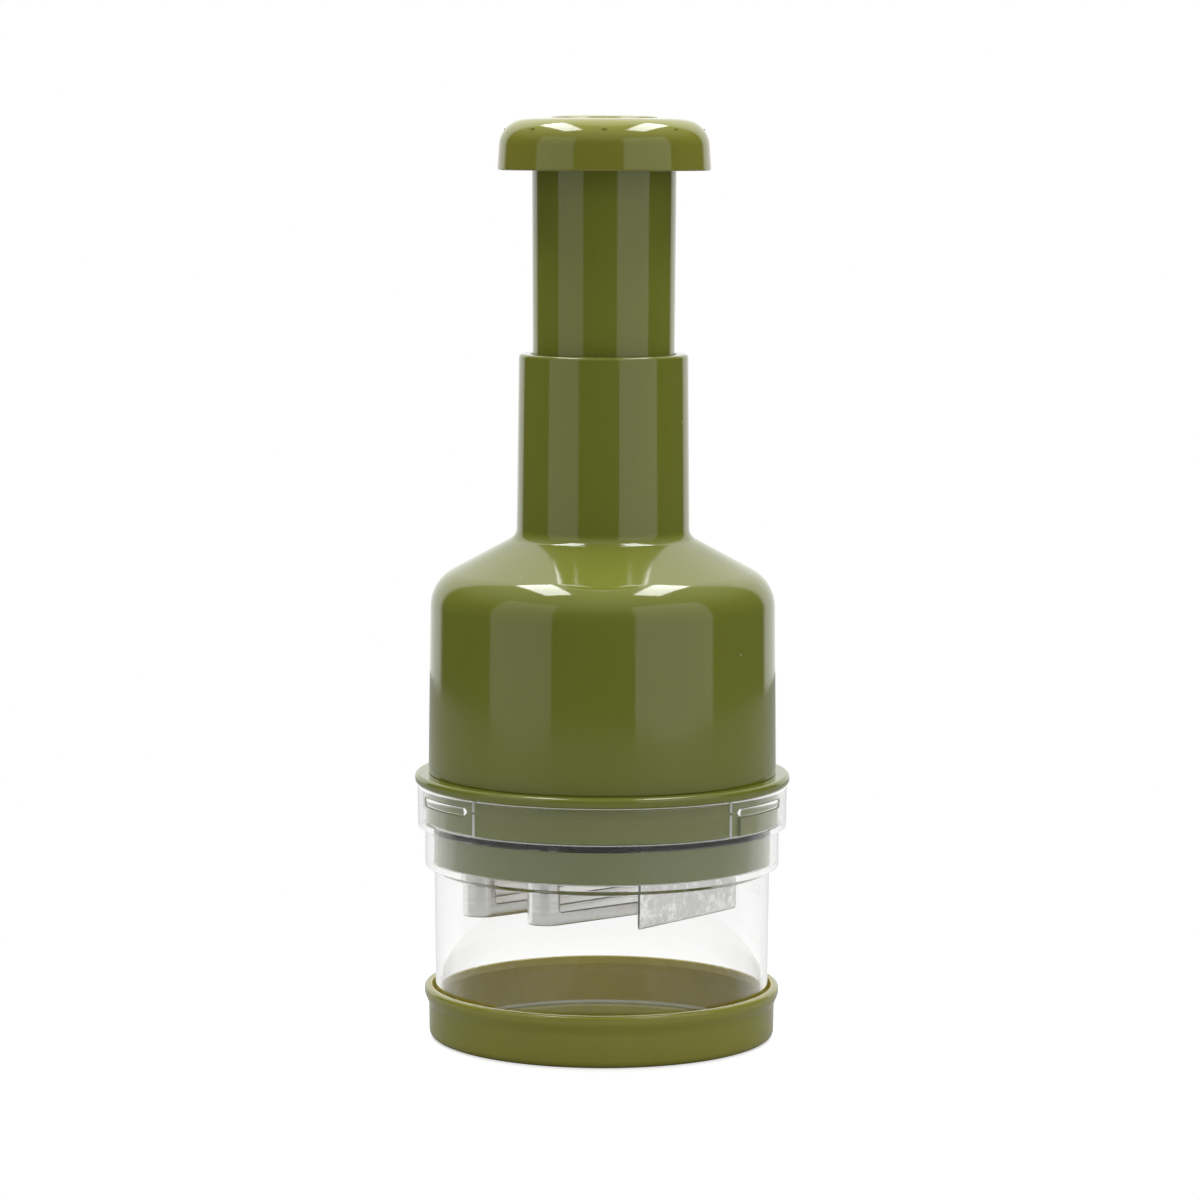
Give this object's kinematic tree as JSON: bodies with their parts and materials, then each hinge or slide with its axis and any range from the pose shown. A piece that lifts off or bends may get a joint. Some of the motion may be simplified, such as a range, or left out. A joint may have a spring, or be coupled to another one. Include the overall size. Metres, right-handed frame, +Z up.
{
  "type": "plunger food chopper",
  "caption": "Hand-pressed food chopper: a clear cup in a base cap, a bell housing with a sprung plunger and knob, and a serpentine blade that turns a step per press",
  "frame": {"origin": "under the middle of the base cap, on the plane it stands on", "axes": "+Z up along the plunger, -Y towards the front seen in the picture, +X to the right of it"},
  "size_m": [0.0916, 0.0916, 0.225],
  "materials": {
    "green_gloss": "glossy",
    "inner_green": "satin",
    "clear_plastic": "clear and glossy",
    "stainless": "fine brushed",
    "soft_rubber": "matte"
  },
  "bodies": {
    "base": {"base_cap": "green_gloss"},
    "cup": {"clear_cup": "clear_plastic"},
    "housing": {"lock_ring": "green_gloss", "bell_housing": "green_gloss", "index_ring": "inner_green", "index_screws": "stainless"},
    "plunger": {"plunger_tube": "green_gloss", "drive_crown": "inner_green", "stop_washer": "soft_rubber", "knob": "green_gloss", "knob_cap": "green_gloss", "knob_screw": "stainless"},
    "blade_rotor": {"blade_shaft": "inner_green", "rotor_crown": "inner_green", "blade_carrier": "inner_green", "carrier_screws": "stainless", "zigzag_blade": "stainless", "spring_washer": "stainless"},
    "wiper": {"wiper_plate": "inner_green", "return_spring": "stainless"}
  },
  "joints": [
    {"name": "cup_lift", "type": "slide", "parent": "base", "child": "cup", "axis": [0, 0, 1], "range_m": [0, 0.045]},
    {"name": "housing_twist", "type": "hinge", "parent": "cup", "child": "housing", "pos_m": [0, 0, 0], "axis": [0, 0, 1], "range_deg": [0, 30]},
    {"name": "plunger_press", "type": "slide", "parent": "housing", "child": "plunger", "axis": [0, 0, -1], "range_m": [0, 0.03], "stiffness_N_per_m": 430, "springref_m": -0.028, "deforming": ["return_spring"]},
    {"name": "blade_index", "type": "hinge", "parent": "plunger", "child": "blade_rotor", "pos_m": [0, 0, 0.11], "axis": [0, 0, 1], "continuous": true},
    {"name": "wiper_stay", "type": "slide", "parent": "blade_rotor", "child": "wiper", "axis": [0, 0, 1], "range_m": [0, 0.03]}
  ],
  "couplings": [
    {"joint": "wiper_stay", "follows": "plunger_press", "ratio": 1}
  ]
}
